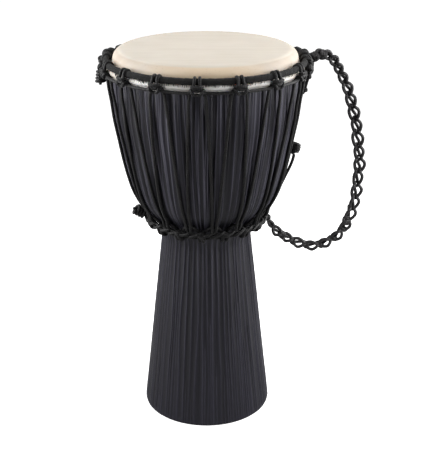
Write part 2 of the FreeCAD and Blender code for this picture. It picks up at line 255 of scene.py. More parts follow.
ROPE_STEP = 1.3
ROPE_SIDES = 12


def rope(points, closed=False, diameter=None):
    """A length of the drum's rope through some points."""
    line = curve_through(points, ROPE_STEP, closed)
    return tube(line, (diameter or ROPE) / 2, ROPE_SIDES, closed)


def tangent(angle):
    """The way round the drum at an angle."""
    turn = math.radians(angle)
    return np.array([math.cos(turn), math.sin(turn), 0.0])


def winding(centre, way):
    """A function for points round an axis: how far out, the turn in radians, and how far along."""
    third = unit(np.asarray(way, float))
    first = unit(np.cross(third, (0, 0, 1) if abs(third[2]) < 0.9 else (1, 0, 0)))
    second = np.cross(third, first)

    def place(out, turn, along):
        return centre + out * (first * math.cos(turn) + second * math.sin(turn)) + third * along

    return place


KNOT_STEPS = 9  # points in one turn of a knot
KNOT_END = 0.78  # radius of a knot at its ends, as a share of its middle
BACK_SHARES = (0.30, 0.0, -0.30)  # where the strand crosses back, as shares of the knot's length


def knot(centre, way, turns, diameter):
    """A barrel knot: turns side by side, wider in the middle, and a strand that crosses back over them."""
    place = winding(centre, way)
    radius = (diameter - ROPE) / 2
    length = (turns - 1) * ROPE * 0.92
    points = []
    steps = turns * KNOT_STEPS
    for step in range(steps + 1):
        turn = 2 * math.pi * step / KNOT_STEPS
        out = radius * (KNOT_END + (1 - KNOT_END) * math.sin(math.pi * step / steps))
        points.append(place(out, turn, (step / steps - 0.5) * length))
    for share in BACK_SHARES:
        turn = 2 * math.pi * (turns + 0.12 + 0.18 * (BACK_SHARES[0] - share))
        lift = radius + ROPE * 0.75 * (1 - abs(share))
        points.append(place(lift, turn, share * length * 1.6))
    points.append(place(0.5 * radius, 0.0, -length / 2 - ROPE * 0.6))
    return rope(points)


# ---- materials
class Shader:
    """A Principled material built node by node."""

    def __init__(self, name):
        self.material = bpy.data.materials.new(name)
        self.material.use_nodes = True
        self.tree = self.material.node_tree
        self.surface = self.tree.nodes["Principled BSDF"]

    def add(self, kind, inputs=None, **settings):
        node = self.tree.nodes.new("ShaderNode" + kind)
        for key, value in settings.items():
            setattr(node, key, value)
        for key, value in (inputs or {}).items():
            self.put(node.inputs[key], value)
        return node

    def put(self, socket, value):
        if isinstance(value, bpy.types.NodeSocket):
            self.tree.links.new(value, socket)
        else:
            socket.default_value = value

    def set(self, **values):
        for key, value in values.items():
            self.put(self.surface.inputs[key.replace("_", " ")], value)

    def span(self, value, low, high, first=0.0, last=1.0):
        """From first to last as the value goes from low to high."""
        return self.add("MapRange", {0: value, 1: low, 2: high, 3: first, 4: last}).outputs[0]

    def mix(self, share, first, second, blend="MIX"):
        """The first colour, with a share of the second."""
        node = self.add("Mix", {0: share, 6: first, 7: second}, data_type="RGBA", blend_type=blend)
        return node.outputs[2]

    def maths(self, operation, first, second=0.0):
        return self.add("Math", {0: first, 1: second}, operation=operation).outputs[0]

    def noise(self, vector, scale, detail, roughness):
        inputs = {"Vector": vector, "Scale": scale, "Detail": detail, "Roughness": roughness}
        return self.add("TexNoise", inputs).outputs["Fac"]

    def stretched(self, vector, scale):
        return self.add("Mapping", {"Vector": vector, "Scale": scale}).outputs[0]

    def ramp(self, value, stops):
        node = self.add("ValToRGB", {"Fac": value})
        ramp = node.color_ramp
        while len(ramp.elements) < len(stops):
            ramp.elements.new(0.5)
        for element, (place, colour) in zip(ramp.elements, stops):
            element.position = place
            element.color = (*colour, 1.0)
        return node.outputs["Color"]

    def bump(self, height, strength, distance):
        return self.add("Bump", {"Height": height, "Strength": strength, "Distance": distance}).outputs[0]


def grey(value, warm=1.0, cool=1.0):
    """A grey, with its red and its blue raised by a factor."""
    return (value * warm, value, value * cool)


def rope_material(name, dark, light, shine):
    """Black braided cord: small diamonds round it, a little dust and shine on the crowns."""
    shader = Shader(name)
    uv = shader.add("UVMap", uv_map="along").outputs[0]
    split = shader.add("SeparateXYZ", {0: uv})
    across = shader.maths("MULTIPLY", split.outputs[0], 2 * math.pi * 4)
    along = shader.maths("MULTIPLY", split.outputs[1], 2 * math.pi * 3.2)
    one_way = shader.maths("SINE", shader.maths("ADD", across, along))
    other_way = shader.maths("SINE", shader.maths("SUBTRACT", across, along))
    diamonds = shader.maths("MULTIPLY", one_way, other_way)
    place = shader.add("TexCoord").outputs["Object"]
    fibres = shader.noise(place, 1400.0, 2.0, 0.6)
    dust = shader.noise(place, 90.0, 3.0, 0.6)
    height = shader.maths("ADD", diamonds, shader.maths("MULTIPLY", fibres, 0.8))
    tone = shader.maths("ADD", shader.maths("MULTIPLY", diamonds, 0.2), dust)
    colour = shader.ramp(tone, [(0.3, grey(dark, 1.06, 1.06)), (0.8, grey(light, 1.06, 1.06))])
    shader.set(Base_Color=colour, Roughness=0.5, Specular_IOR_Level=shine)
    shader.set(Sheen_Weight=0.05, Sheen_Roughness=0.5, Normal=shader.bump(height, 0.8, 0.0003))
    return shader.material


def wood_material():
    """Black-stained carved wood: long fine grain, a satin coat, a painted highlight along the crests and
    painted shade in the grooves.
    """
    shader = Shader("stained_wood")
    place = shader.add("TexCoord").outputs["Object"]
    tone_and_painted_light = shader.add("Attribute", attribute_name="tone_and_painted_light").outputs["Fac"]
    grain = shader.noise(shader.stretched(place, (1.0, 1.0, 0.03)), 420.0, 4.0, 0.65)
    pores = shader.noise(shader.stretched(place, (1.0, 1.0, 0.05)), 1500.0, 2.0, 0.5)
    patches = shader.noise(shader.stretched(place, (1.0, 1.0, 0.15)), 34.0, 2.0, 0.5)
    fade = shader.span(patches, 0.36, 0.60, 0.15, 1.0)
    tone = shader.maths("ADD", shader.maths("MULTIPLY", grain, 0.6), shader.maths("MULTIPLY", patches, 0.4))
    stain = shader.ramp(tone, [(0.35, (0.0058, 0.0054, 0.0092)), (0.65, (0.0155, 0.0147, 0.0235))])
    # Painted shade: the stain is darker deep in the grooves, and painted lighter towards the crests.
    shade = shader.ramp(tone_and_painted_light, [(0.0, grey(0.2)), (0.2, grey(0.5)), (0.5, grey(1.5))])
    stain = shader.mix(1.0, stain, shade, "MULTIPLY")
    # Painted highlight: a pale blue-grey along the crests, in patches.
    crest = shader.maths("MULTIPLY", shader.span(tone_and_painted_light, 0.45, 1.0), fade)
    colour = shader.mix(crest, stain, (0.109, 0.106, 0.134, 1.0))
    gloss = shader.ramp(tone, [(0.35, grey(0.46)), (0.65, grey(0.31))])
    height = shader.maths("ADD", grain, shader.maths("MULTIPLY", pores, 0.5))
    shader.set(Base_Color=colour, Roughness=gloss, Specular_IOR_Level=0.62)
    shader.set(Specular_Tint=(0.92, 0.905, 1.0, 1.0), Normal=shader.bump(height, 0.5, 0.0008))
    return shader.material


def skin_material():
    """Shaved goat skin: pale on the flat head, warmer and specked down the skirt, white fur at the fold;
    the skirt is painted lighter at the front and darker at the sides and back, and the fold darker at the
    left and right, as painted light and shade.
    """
    shader = Shader("goat_skin")
    place = shader.add("TexCoord").outputs["Object"]
    split = shader.add("SeparateXYZ", {0: place})
    streaks = shader.noise(shader.stretched(place, (0.10, 1.0, 1.0)), 75.0, 4.0, 0.6)
    clouds = shader.noise(place, 18.0, 2.0, 0.5)
    pores = shader.noise(place, 900.0, 3.0, 0.7)
    mix = shader.maths("ADD", shader.maths("MULTIPLY", streaks, 0.5), shader.maths("MULTIPLY", clouds, 0.5))
    head = shader.ramp(mix, [(0.35, (0.640, 0.574, 0.490)), (0.65, (0.699, 0.636, 0.556))])
    # The skirt is painted darker at the sides and back, as painted shade, and warmer and lighter towards
    # the front, as painted light.
    pale = shader.ramp(mix, [(0.35, (0.515, 0.439, 0.362)), (0.65, (0.583, 0.513, 0.439))])
    warm_lit_skirt = shader.ramp(mix, [(0.35, (0.840, 0.615, 0.400)), (0.65, (0.920, 0.735, 0.528))])
    skirt = shader.mix(shader.span(split.outputs[1], -0.105, -0.150), pale, warm_lit_skirt)
    fold = shader.ramp(mix, [(0.30, (0.720, 0.670, 0.620)), (0.60, (0.950, 0.930, 0.900))])
    # Painted shade: the fold darker towards the drum's left and right.
    fold_side_shade = shader.span(shader.maths("ABSOLUTE", split.outputs[0]), 0.095, 0.140)
    fold = shader.mix(fold_side_shade, fold, (0.500, 0.450, 0.400, 1.0))
    top = HEIGHT * MM
    head_share = shader.span(split.outputs[2], top - 0.0022, top - 0.0006)
    skirt_share = shader.span(split.outputs[2], top - 0.024, top - 0.018)
    lower = shader.mix(skirt_share, fold, skirt)
    colour = shader.mix(head_share, lower, head)
    specks = shader.add("TexVoronoi", {"Vector": place, "Scale": 230.0}).outputs["Distance"]
    speck = shader.maths("LESS_THAN", specks, shader.maths("MULTIPLY", clouds, 0.26))
    low = shader.maths("SUBTRACT", 1.0, head_share)
    speck = shader.maths("MULTIPLY", shader.maths("MULTIPLY", speck, low), 0.30)
    colour = shader.mix(speck, colour, (0.36, 0.22, 0.13, 1.0))
    height = shader.maths("ADD", streaks, shader.maths("MULTIPLY", pores, 0.35))
    shader.set(Base_Color=colour, Roughness=0.62, Specular_IOR_Level=0.3)
    shader.set(Subsurface_Weight=0.08, Subsurface_Radius=(0.012, 0.006, 0.003), Subsurface_Scale=0.5)
    shader.set(Normal=shader.bump(height, 0.25, 0.0005))
    return shader.material


def cloth_material():
    """Black cotton strip: a plain weave across and along the ring, with a little lint."""
    shader = Shader("black_cloth")
    uv = shader.add("UVMap", uv_map="along").outputs[0]
    split = shader.add("SeparateXYZ", {0: uv})
    weft = shader.maths("SINE", shader.maths("MULTIPLY", split.outputs[0], 2 * math.pi * 30))
    warp = shader.maths("SINE", shader.maths("MULTIPLY", split.outputs[1], 2 * math.pi * 30))
    weave = shader.maths("MULTIPLY", weft, warp)
    place = shader.add("TexCoord").outputs["Object"]
    lint = shader.noise(place, 700.0, 3.0, 0.7)
    tone = shader.maths("ADD", lint, shader.maths("MULTIPLY", weave, 0.12))
    colour = shader.ramp(tone, [(0.3, grey(0.0035)), (0.8, grey(0.0095, 1.02))])
    height = shader.maths("ADD", weave, lint)
    shader.set(Base_Color=colour, Roughness=0.85, Specular_IOR_Level=0.25)
    shader.set(Sheen_Weight=0.06, Sheen_Roughness=0.6, Normal=shader.bump(height, 0.6, 0.0003))
    return shader.material


def steel_material():
    """Bare round bar: drawn lines round the ring, dull grey with a few darker stains."""
    shader = Shader("ring_steel")
    place = shader.add("TexCoord").outputs["Object"]
    lines = shader.noise(shader.stretched(place, (1.0, 1.0, 8.0)), 250.0, 3.0, 0.6)
    stains = shader.noise(place, 35.0, 3.0, 0.6)
    colour = shader.ramp(stains, [(0.35, (0.20, 0.17, 0.15)), (0.6, (0.42, 0.42, 0.43))])
    gloss = shader.ramp(lines, [(0.3, grey(0.32)), (0.7, grey(0.5))])
    shader.set(Base_Color=colour, Metallic=1.0, Roughness=gloss)
    shader.set(Normal=shader.bump(lines, 0.2, 0.0002))
    return shader.material


MATERIALS = {
    "rope": rope_material("black_rope", 0.0030, 0.0122, 0.28),
    # The handle's chain: the same black rope painted several times lighter, as painted light on the chain.
    "handle_rope": rope_material("handle_rope_painted_lighter", 0.0160, 0.0540, 0.45),
    "wood": wood_material(),
    "skin": skin_material(),
    "cloth": cloth_material(),
    "steel": steel_material(),
}


# ---- the handle
HANDLE_ROUTE = [(163.4, 8, 584.5), (175.5, 7.5, 590), (187.5, 7, 586.5), (198, 6.5, 574.5),
                (208.5, 6, 557), (219.5, 5.5, 532), (229.5, 5, 502), (236.5, 4.5, 468),
                (241.3, 4, 435), (242.5, 4, 405), (240.5, 4, 376), (237.5, 4, 349),
                (231.5, 4.5, 322), (218, 5, 298), (198, 5.5, 280), (175, 6, 273.5),
                (150, 6.5, 279.5), (128, 7, 289), (111, 7.5, 302.5), (98, 8, 320)]
HANDLE_LENGTH = 472
LINK_HALF = 6.9  # from the chain's middle to the middle of a loop's leg
LINK_DEPTH = 4.8
LINK_ROPE = 5.2  # the rope is looser and fluffier here, where it is handled
# Where along the handle its links begin; they are pulled tight at the top and loose lower down.
LINK_STARTS = [5, 17, 30, 43, 58, 75, 94, 115, 136, 157, 180, 201, 222, 245, 266, 286,
               307, 328, 351, 373, 395, 417, 437, 456]
# One link: its loop's outer leg, tip and inner leg, then the strand that leads on behind it.
# Pitches along, half widths outwards, depths towards the front.
LINK = [(-0.08, 0.30, -0.9), (0.00, 0.38, 0.0), (0.10, 0.58, 0.9), (0.25, 0.98, 0.9),
        (0.46, 1.14, 0.6), (0.72, 0.98, 0.3), (0.96, 0.62, 0.1), (1.10, 0.28, 0.0),
        (1.15, -0.10, 0.0), (1.07, -0.50, 0.0), (0.90, -0.76, 0.1), (0.62, -0.92, 0.3),
        (0.34, -0.92, 0.7), (0.14, -0.74, 0.9), (0.02, -0.50, 0.0), (-0.06, -0.40, -0.9),
        (0.02, -0.42, -1.5), (0.18, -0.38, -1.1), (0.42, -0.20, -0.8), (0.68, 0.12, -0.8),
        (0.86, 0.26, -0.85)]
# How the chain changes along its length. At each place: how far it is turned from facing the front,
# in degrees; its size; how far the inner legs stand out; how far the strand that leads on swings into
# the loop; and how much narrower it is where its links meet.
PLACES = (0, 60, 100, 150, 230, 290, 330, 380, 430, 472)
TURNS = (25, 5, 0, -10, 0, 18, 12, 0, -5, 0)
SIZES = (0.8, 0.85, 0.98, 1.03, 0.98, 0.97, 1.05, 1.08, 1.02, 0.6)
INNER = (0.9, 0.9, 1, 1, 1, 1, 0.75, 0.7, 0.75, 0.9)
FILL = (0.45, 0.4, 0.1, 0, 0, 0, 0.35, 0.35, 0.35, 0.2)
PINCH = (0.1, 0.1, 0, 0, 0, 0.1, 0.5, 0.6, 0.55, 0.3)
LEADING = -0.75  # the points of a link that lie deeper than this lead on behind its loop
CHAIN_KNOTS = ((3, 13), (16, 13), (309, 13), (434, 12))  # where along it, and how thick
CURLS = (325, 346, 369, 391, 413)  # where along it the tip of a low loop curls in on itself
CURL_OUT = 2.6
CURL_SIZE = 9.0


def route_line():
    """The handle's middle line: points along the NURBS curve of its route."""
    data = bpy.data.curves.new("handle_route", "CURVE")
    data.dimensions = "3D"
    data.resolution_u = 24
    spline = data.splines.new("NURBS")
    spline.points.add(len(HANDLE_ROUTE) - 1)
    for point, place in zip(spline.points, HANDLE_ROUTE):
        point.co = (*(value * MM for value in place), 1.0)
    spline.order_u = 3
    spline.use_endpoint_u = True
    guide = bpy.data.objects.new("handle_route", data)
    mesh = bpy.data.meshes.new_from_object(guide)
    line = np.array([vertex.co for vertex in mesh.vertices]) / MM
    bpy.data.objects.remove(guide)
    bpy.data.meshes.remove(mesh)
    bpy.data.curves.remove(data)
    return line


def handle():
    """A chain sinnet: each loop of one rope is drawn through the loop before it."""
    route = route_line()
    line = resample(route, 1.0)
    tangents, normals, inward = frames(line, first_normal=(0, -1, 0))
    length = float(len(line) - 1)

    def place(along, out, front):
        along = min(max(along, 0.0), length)
        index = min(int(along), len(line) - 2)
        share = along - index
        middle = line[index] * (1 - share) + line[index + 1] * share
        turn = math.radians(np.interp(along, PLACES, TURNS))
        size = np.interp(along, PLACES, SIZES)
        front_way = normals[index] * math.cos(turn) - inward[index] * math.sin(turn)
        out_way = -inward[index] * math.cos(turn) - normals[index] * math.sin(turn)
        return middle + (out_way * out + front_way * front) * size

    starts = np.array(LINK_STARTS + [length - 2]) * (length - 2) / HANDLE_LENGTH
    points = [place(0.0, 0.5, 0.0)]
    for link, (start, end) in enumerate(zip(starts, starts[1:])):
        size = 1.0 + 0.09 * math.sin(2.9 * link + 1.0)
        lean = 0.6 * math.sin(4.1 * link)
        for along, out, front in LINK:
            taper = min(1.0, 0.75 + start / 60, 0.3 + (length - start - along * (end - start)) / 28)
            inner = 1.0 if out > 0 else np.interp(start, PLACES, INNER)
            swing = np.interp(start, PLACES, FILL) if front < LEADING else 0.0
            meeting = abs(math.cos(math.pi * (along - 0.05))) ** 3
            pinch = 1 - meeting * np.interp(start, PLACES, PINCH)
            width = ((out * inner + swing) * LINK_HALF * size + lean) * taper * pinch
            points.append(place(start + along * (end - start), width, front * LINK_DEPTH * taper))
    points += [place(length - 5, 0.0, 0.5), place(length, 0.0, 0.0)]
    parts = [rope(points, diameter=LINK_ROPE)]
    parts += [knot(place(along, 0, 0), tangents[along], 3, across) for along, across in CHAIN_KNOTS]
    parts += [knot(place(along, CURL_OUT, 0), tangents[along], 2, CURL_SIZE) for along in CURLS]
    piece = mesh_object("handle_chain", parts, "handle_rope", ["handle"], body="handle")
    exit_point = [value * MM for value in HANDLE_ROUTE[0]]


handle()


# ---- lights and floor
# Each soft box: its place, the height it faces and its size, all in metres, and its watts.
LIGHTS = (("left_box", (-1.25, 0.10, 0.85), 0.42, (0.7, 1.1), 21),
          ("right_box", (1.25, 0.05, 0.85), 0.42, (0.7, 1.1), 20),
          ("left_strip", (-1.1, -0.85, 0.75), 0.38, (0.16, 1.2), 7.2),
          ("right_strip", (1.1, -0.85, 0.75), 0.38, (0.16, 1.2), 7.2),
          ("right_rim", (1.05, 0.62, 0.80), 0.42, (0.25, 1.1), 7),
          ("top_box", (0.0, 0.15, 1.7), 0.6, (1.0, 1.0), 2.2))
FLOOR_HALF = 8.0
FLOOR_DROP = 0.0005  # the floor's top is this far under the drum's foot


def area_light(name, place, height, size, power):
    """A white soft box that faces the drum's axis at a height."""
    data = bpy.data.lights.new(name, "AREA")
    data.shape = "RECTANGLE"
    data.size, data.size_y = size
    data.energy = power
    light = bpy.data.objects.new(name, data)
    light.location = place
    light.rotation_euler = (Vector((0, 0, height)) - Vector(place)).to_track_quat("-Z", "Y").to_euler()
    bpy.context.collection.objects.link(light)


def make_world(seen, dim, bright):
    """A white world: even where the camera sees it, and as light dimmer from the front than from behind."""
    world = bpy.data.worlds.new("world")
    bpy.context.scene.world = world
    world.use_nodes = True
    tree = world.node_tree
    background = tree.nodes["Background"]
    background.inputs["Color"].default_value = (1, 1, 1, 1)
    direction = tree.nodes.new("ShaderNodeTexCoord")
    split = tree.nodes.new("ShaderNodeSeparateXYZ")
    fade = tree.nodes.new("ShaderNodeMapRange")
    for socket, value in (("From Min", -0.5), ("From Max", 0.5), ("To Min", dim), ("To Max", bright)):
        fade.inputs[socket].default_value = value
    tree.links.new(direction.outputs["Generated"], split.inputs[0])
    tree.links.new(split.outputs[1], fade.inputs["Value"])
    rays = tree.nodes.new("ShaderNodeLightPath")
    strength = tree.nodes.new("ShaderNodeMapRange")
    strength.inputs["To Max"].default_value = seen
    tree.links.new(fade.outputs[0], strength.inputs["To Min"])
    tree.links.new(rays.outputs["Is Camera Ray"], strength.inputs["Value"])
    tree.links.new(strength.outputs[0], background.inputs["Strength"])


def make_floor():
    """A pale floor: white to look at, and a soft grey as far as it lights the drum."""
    shader = Shader("floor")
    rays = shader.add("LightPath").outputs["Is Camera Ray"]
    tone = shader.ramp(rays, [(0.0, grey(0.24)), (1.0, grey(0.9))])
    glow = shader.maths("MULTIPLY", rays, 0.75)
    shader.set(Base_Color=tone, Roughness=0.9, Specular_IOR_Level=0.1)
    shader.set(Emission_Color=(1, 1, 1, 1), Emission_Strength=glow)
    mesh = bpy.data.meshes.new("floor")
    corners = [(x * FLOOR_HALF, y * FLOOR_HALF, 0) for x, y in ((-1, -1), (1, -1), (1, 1), (-1, 1))]
    mesh.from_pydata(corners, [], [(0, 1, 2, 3)])
    mesh.materials.append(shader.material)
    floor = bpy.data.objects.new("floor", mesh)
    bpy.context.collection.objects.link(floor)
    floor.location.z = -FLOOR_DROP


def make_stage():
    """The white world, the pale floor and the lights."""
    bpy.context.scene.view_settings.view_transform = "Standard"
    make_world(seen=1.0, dim=0.165, bright=0.52)
    make_floor()
    for light in LIGHTS:
        area_light(*light)


make_stage()


# ---- the shell
COLUMNS = 1260
BOWL_START = 322.0  # the foot's flutes end and the bowl's begin under the waist ring
WAVES = 5
SPLIT_FADE = 25.0  # height over which a parting ridge begins
SPLIT_WIDTH = 0.6  # in degrees
FULL_WIDTH = 3.2  # a flute narrower than this, in degrees, is shallower too
EDGE_CENTRE = (124.5, 584.5)  # radius and height of the middle of the bearing edge's round
EDGE_ROUND = 14.3
FLAT_RADII = (118.4, 117.9)  # the bearing edge's inner corner
FLAT_LEVELS = (598.6, 597.0)
RIM_RADII = (90.2, 91.2)  # the foot rim's inner corner
RIM_LEVELS = (1.0, 0.0)
FOOT_RADII = (103.0, 103.7)  # its outer corner, at the two lowest levels
PLAIN_TONE_AND_LIGHT = 0.375  # tone and painted light of the uncarved wood inside: no painted highlight and next to no painted shade


def wander(rng, count, levels, reach):
    """Slow random waves along the height, one row for each of count lines."""
    total = np.zeros((count, len(levels)))
    for wave in range(1, WAVES + 1):
        size = rng.normal(0, 1 / wave, (count, 1))
        phase = rng.uniform(0, 2 * np.pi, (count, 1))
        total += size * np.sin(levels[None] * wave * 2 * np.pi / 620 + phase)
    return total * reach


def gouged(rng, levels, pitches, sway, depth, floor, flicker, skew, splits=None):
    """A row of gouged flutes between ridges that sway: their depth, distance from a ridge, and a tone each.

    Below its own level in splits, a flute is parted by one more ridge."""
    columns = 360 * np.arange(COLUMNS) / COLUMNS
    count = len(pitches)
    ridges = (np.cumsum(pitches) / pitches.sum() * 360)[:, None] + wander(rng, count, levels, sway)
    sizes = floor + (1 - floor) * rng.random((count, 1)) + wander(rng, count, levels, flicker)
    sizes = np.clip(sizes, 0.03, 1.3) * depth
    leans = np.exp(rng.uniform(-skew, skew, count))
    tones = rng.uniform(-1, 1, count)
    middles = rng.uniform(0.36, 0.64, count)
    starts = np.full(count, -100.0) if splits is None else rng.uniform(*splits, count)
    depths, beside, tone = (np.zeros((len(levels), COLUMNS)) for _ in range(3))
    for row, level in enumerate(levels):
        order = np.argsort(ridges[:, row] % 360)
        places = (ridges[:, row] % 360)[order]
        places = np.concatenate([[places[-1] - 360], places, [places[0] + 360]])
        gap = np.searchsorted(places, columns, side="right") - 1
        flute = order[gap - 1]
        width = places[gap + 1] - places[gap]
        share = np.clip((columns - places[gap]) / np.maximum(width, 1e-6), 0, 1)
        hollow = 1 - np.abs(2 * share ** leans[flute] - 1) ** 2.1
        begun = np.clip((starts[flute] - level) / SPLIT_FADE, 0, 1)
        from_split = np.abs(share - middles[flute]) * width
        hollow *= 1 - 0.85 * begun * np.exp(-(from_split / SPLIT_WIDTH) ** 2)
        depths[row] = hollow * np.clip(width / FULL_WIDTH, 0.2, 1.0) * sizes[flute, row]
        beside[row] = np.minimum(np.minimum(share, 1 - share) * width, from_split + 9 * (1 - begun))
        tone[row] = tones[flute]
    return depths, beside, tone


def carved(levels):
    """How far the carving lies under the CAD surface, and its tone with painted highlights on the crests
    and painted shade in the grooves, for each level and column.
    """
    rng = np.random.default_rng(7)
    foot, foot_beside, foot_tone = gouged(rng, levels, rng.uniform(0.7, 1.3, 64), sway=0.6, depth=1.9,
                                          floor=0.55, flicker=0.14, skew=0.2, splits=(-60, 270))
    foot += gouged(rng, levels, rng.uniform(0.5, 1.5, 150), sway=0.5, depth=0.6,
                   floor=0.0, flicker=0.35, skew=0.0)[0]
    pitches = rng.choice([1.5, 2.1, 2.8, 3.8, 5.2], 130, p=[0.25, 0.3, 0.2, 0.15, 0.1])
    pitches *= rng.uniform(0.85, 1.15, 130)
    bowl, bowl_beside, bowl_tone = gouged(rng, levels, pitches, sway=0.5, depth=2.7,
                                          floor=0.15, flicker=0.30, skew=0.7)
    bowl += gouged(rng, levels, rng.uniform(0.5, 1.5, 230), sway=0.45, depth=1.2,
                   floor=0.0, flicker=0.35, skew=0.4)[0]
    foot *= np.interp(levels, [0, 3, 10, 120, 290], [0, 0.1, 0.55, 0.75, 1.0])[:, None]
    share = np.clip((levels - BOWL_START) / 16 + 0.5, 0, 1)[:, None]
    depth = foot * (1 - share) + bowl * share
    # How strong the painted highlight is along the foot's crests: weaker lower down.
    crest_highlight_by_height = np.interp(levels, [0, 150, 300], [0.2, 0.3, 0.6])[:, None]
    crest = np.exp(-(foot_beside / 0.8) ** 2) * crest_highlight_by_height * (1 - share)
    crest += np.exp(-(bowl_beside / 0.45) ** 2) * share
    tone = 0.12 * foot_tone * (1 - share) + 0.24 * bowl_tone * share
    # A random tone for each flute, raised by the painted highlight on the crests and lowered by painted
    # shade deeper in the grooves.
    tone_and_painted_light = (0.6 + crest + tone - 0.6 * np.clip(depth / 1.8, 0, 1)) / 1.6
    return depth * np.interp(levels, [0, 572, 586], [1, 1, 0])[:, None], tone_and_painted_light


def lathe(radii, levels, columns=COLUMNS):
    """A closed surface of revolution: radii are one row for each level, levels run round the section."""
    turns = 2 * np.pi * np.arange(columns) / columns
    radii = np.broadcast_to(radii, (len(levels), columns))
    heights = np.broadcast_to(np.asarray(levels, float).reshape(len(levels), -1), (len(levels), columns))
    vertices = np.stack([radii * np.sin(turns), -radii * np.cos(turns), heights], axis=-1).reshape(-1, 3)
    return vertices, *grid(len(levels), len(levels), columns, 1 / len(levels))


def shell():
    """The carved shell: fluted outside, adzed inside, with a smooth bearing edge and foot rim."""
    outer_levels = np.concatenate([[0.0, 0.6, 1.8], np.arange(4.0, 584.0, 3.2)])
    outer = np.interp(outer_levels, LEVELS, OUTSIDE)
    outer[:2] = FOOT_RADII
    depth, tone_and_painted_light = carved(outer_levels)
    outer_radii = outer[:, None] - depth
    edge_turns = np.radians(np.arange(0, 91, 10))
    edge_radii = EDGE_CENTRE[0] + EDGE_ROUND * np.cos(edge_turns)
    edge_levels = EDGE_CENTRE[1] + EDGE_ROUND * np.sin(edge_turns)
    inner_levels = np.arange(590.0, 3.0, -9.0)
    inner = np.interp(inner_levels, LEVELS, INSIDE)
    rng = np.random.default_rng(11)
    columns = np.arange(COLUMNS) / COLUMNS * 2 * np.pi
    adze = np.zeros((len(inner_levels), COLUMNS))
    for waves in range(9, 26, 4):
        phase = rng.uniform(0, 2 * np.pi, (len(inner_levels), 1)) * 0.15 + rng.uniform(0, 6)
        adze += 0.16 * np.sin(waves * columns[None] + phase + inner_levels[:, None] / 23)
    levels = np.concatenate([outer_levels, edge_levels, FLAT_LEVELS, inner_levels, RIM_LEVELS])
    edge, flat, rim = (np.repeat(np.array(plain)[:, None], COLUMNS, axis=1)
                       for plain in (edge_radii, FLAT_RADII, RIM_RADII))
    radii = np.vstack([outer_radii, edge, flat, inner[:, None] + adze, rim])
    piece = mesh_object("carved_shell", [lathe(radii, levels)], "wood", ["shell"])
    # The plain wood inside, on the bearing edge and on the rim gets one middle value: no painted highlight
    # and next to no painted shade.
    values = np.full(radii.shape, PLAIN_TONE_AND_LIGHT)
    values[:len(outer_levels)] = tone_and_painted_light
    piece.data.attributes.new("tone_and_painted_light", "FLOAT", "POINT").data.foreach_set("value", values.ravel())


# ---- the skin
SKIN_COLUMNS = 480
SKIN_ANGLES = 360 * np.arange(SKIN_COLUMNS) / SKIN_COLUMNS
SKIN_ROUND = 15.5  # over the bearing edge's round
SKIN_THICKNESS = 1.0
FUR = 1.2  # how far the fold stands off the flesh ring
FUR_ROWS = 8
PINCH_REACH = 4.6  # degrees on either side of a hitch where it presses the fold in
HEM_LEVEL = 565.4


def skin_lathe(section):
    """A surface of revolution from radii and heights, each one number or one for each column."""
    radii, levels = ([np.broadcast_to(value, SKIN_COLUMNS) for value in values] for values in zip(*section))
    return lathe(np.array(radii), np.array(levels), SKIN_COLUMNS)


def skin():
    """The skin: flat head, rounded edge, skirt, and the furry fold round the flesh ring."""
    turns = np.radians(SKIN_ANGLES)
    fur = np.random.default_rng(3).normal(0, 1, (FUR_ROWS, SKIN_COLUMNS))
    from_hitch = (SKIN_ANGLES - FIRST_HITCH + BAY / 2) % BAY - BAY / 2
    pinch = np.clip(1 - np.abs(from_hitch) / PINCH_REACH, 0, 1)
    section = [(radius, HEIGHT) for radius in (2, 20, 40, 60, 80, 100, 115)]
    for turn in np.radians(np.arange(90, -1, -9)):
        radius = EDGE_CENTRE[0] + SKIN_ROUND * math.cos(turn)
        section.append((radius, EDGE_CENTRE[1] + SKIN_ROUND * math.sin(turn)))
    pucker = 0.35 * np.cos(BAYS * np.radians(SKIN_ANGLES - FIRST_HITCH)) + 0.15 * np.sin(37 * turns)
    section += [(141.6 + pucker * 0.5, 580.0), (143.4 + pucker, 576.0)]
    for index, degrees in enumerate(range(200, 461, 20)):
        turn = math.radians(degrees)
        fold = FLESH[2] / 2 + FUR + 0.18 * fur[index % FUR_ROWS] + 0.25 * np.sin(23 * turns + index)
        squeeze = 1 - 0.22 * pinch * max(0.0, math.cos(turn))
        section.append((FLESH[0] + fold * squeeze * math.cos(turn), FLESH[1] + fold * math.sin(turn)))
    vertices, faces, uvs = skin_lathe(section)
    kept = (len(section) - 1) * SKIN_COLUMNS
    faces = faces[:kept] + [list(range(SKIN_COLUMNS))[::-1]]
    uvs = np.vstack([uvs[:kept * 4], np.zeros((SKIN_COLUMNS, 2))])
    piece = mesh_object("goat_skin", [(vertices, faces, uvs)], "skin", ["goat_skin_head"])
    solid = piece.modifiers.new("thickness", "SOLIDIFY")
    solid.thickness = SKIN_THICKNESS * MM
    solid.offset = -1


def hem():
    """The skin's trimmed edge, hanging behind the ropes under the flesh ring."""
    uneven = np.random.default_rng(5).normal(0, 1, SKIN_COLUMNS)
    low = HEM_LEVEL + (0.5 * np.sin(41 * np.radians(SKIN_ANGLES)) + 0.35 * uneven)
    section = [(147.2, 571.0), (147.6, 567.0), (147.4, low), (146.5, low), (146.6, 567.0), (146.2, 571.0)]
    mesh_object("skin_hem", [skin_lathe(section)], "skin")


# ---- rings
CLOTH_STEP = 0.9
CLOTH_SIDES = 28
STRIP = 11.0  # how far one turn of the strip carries it along the ring
LAP = 0.12  # the share of a turn in which it climbs over the turn before
THREADS = 260


